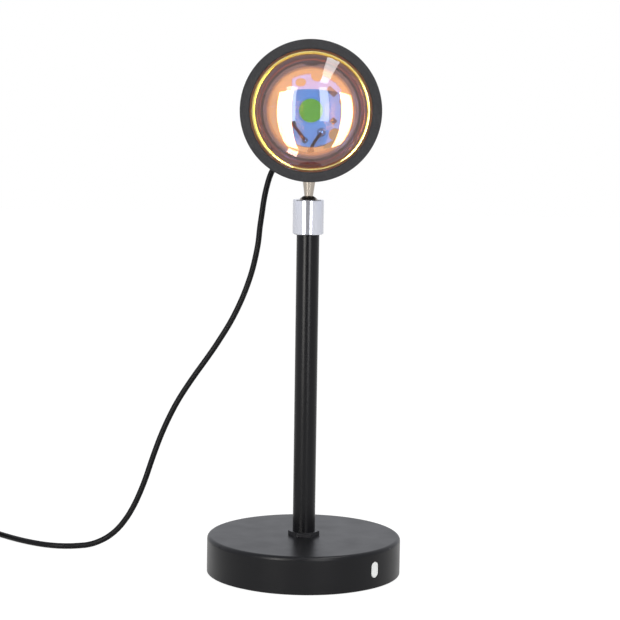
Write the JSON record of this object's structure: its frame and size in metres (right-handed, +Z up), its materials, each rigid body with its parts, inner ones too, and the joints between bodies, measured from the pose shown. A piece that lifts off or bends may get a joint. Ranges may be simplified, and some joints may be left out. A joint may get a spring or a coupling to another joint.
{
  "type": "sunset projection lamp",
  "caption": "Small table lamp that throws a round spot of sunset colours: weighted base, slim pole, ball joint, domed lens head and a USB cord with a push switch.",
  "frame": {"origin": "middle of the base's underside, on the table", "axes": "+Z up along the pole, the lens faces -Y, the cord leaves towards -X"},
  "size_m": [0.2907, 0.144, 0.2735],
  "materials": {
    "base_enamel": "satin black powder enamel on pressed steel",
    "pole_enamel": "satin black enamel on steel tube",
    "head_enamel": "fine sand-textured matt black enamel on aluminium",
    "cast_iron": "as cast",
    "foam": "matt black foam",
    "white_plastic": "moulded white plastic",
    "zinc_steel": "bright zinc plated",
    "black_steel": "black nut",
    "brass": "turned brass",
    "spring_steel": "spring steel",
    "nylon": "natural nylon",
    "chrome": "polished chrome",
    "nickel": "bright nickel, warm",
    "lens_glass": "clear polished glass",
    "filter_glass": "dichroic colour filter",
    "gasket": "soft gasket",
    "cup_plastic": "moulded stepped reflector",
    "board_white": "white solder mask",
    "phosphor": "yellow phosphor under clear gel",
    "board_bits": "small parts and solder pads",
    "thermal_pad": "soft dark grey pad",
    "bare_aluminium": "machined",
    "lead_red": "insulated lead",
    "lead_black": "insulated lead",
    "screw_black": "black oxide",
    "cord_black": "satin black cord jacket",
    "tie_black": "black woven tie",
    "switch_black": "moulded black plastic",
    "button_grey": "moulded dark grey plastic",
    "plug_black": "moulded soft black grip",
    "plug_metal": "nickel plated shell",
    "contact_gold": "gold plated"
  },
  "bodies": {
    "base": {"base_shell": "base_enamel", "slot_plug": "white_plastic", "counterweight": "cast_iron", "foot_pad": "foam", "base_nut": "black_steel", "base_washer": "zinc_steel", "clamp_nut": "zinc_steel", "nipple": "brass", "pole_tube": "pole_enamel", "pole_plug": "brass", "seat_spring": "spring_steel", "cord_hanging": "cord_black", "cord_table": "cord_black", "cord_coil": "cord_black", "cord_tie": "tie_black", "cord_lead_out": "cord_black", "cord_lead_end": "cord_black", "switch_bottom": "switch_black", "switch_top": "switch_black", "switch_unit": "white_plastic", "switch_screws": "zinc_steel", "usb_overmould": "plug_black", "usb_shell": "plug_metal", "usb_tongue": "white_plastic", "usb_contacts": "contact_gold"},
    "collar": {"socket_collar": "chrome"},
    "seat": {"ball_seat": "nylon"},
    "stem": {"ball_stud": "nickel", "stud_nut": "zinc_steel"},
    "head": {"stud_washer": "zinc_steel", "bezel_ring": "head_enamel", "lens_gasket": "gasket", "lens": "lens_glass", "filter_disc": "filter_glass", "lamp_cup": "cup_plastic", "led_board": "board_white", "led_cob": "phosphor", "board_parts": "board_bits", "thermal_pad": "thermal_pad", "heat_sink": "bare_aluminium", "sink_screws": "zinc_steel", "lead_red": "lead_red", "lead_black": "lead_black", "housing": "head_enamel", "rear_cover": "head_enamel", "rear_screws": "screw_black", "cord_gland": "plug_black"},
    "button": {"switch_button": "button_grey"}
  },
  "joints": [
    {"name": "collar_turn", "type": "hinge", "parent": "base", "child": "collar", "pos_m": [0, 0, 0.1844], "axis": [0, 0, 1], "range_deg": [0, 90]},
    {"name": "ball_swivel", "type": "hinge", "parent": "base", "child": "seat", "pos_m": [0, 0, 0.1895], "axis": [0, 0, 1], "range_deg": [-135, 135], "deforming": ["cord_hanging"]},
    {"name": "ball_nod", "type": "hinge", "parent": "seat", "child": "stem", "pos_m": [0, 0, 0.1895], "axis": [1, 0, 0], "range_deg": [-30, 30], "deforming": ["cord_hanging"]},
    {"name": "head_turn", "type": "hinge", "parent": "stem", "child": "head", "pos_m": [0, 0, 0.1895], "axis": [0.0119, 0, 0.9999], "range_deg": [-45, 45], "deforming": ["cord_hanging"]},
    {"name": "button_press", "type": "slide", "parent": "base", "child": "button", "axis": [0, 0, -1], "range_m": [0, 0.001], "stiffness_N_per_m": 800}
  ]
}
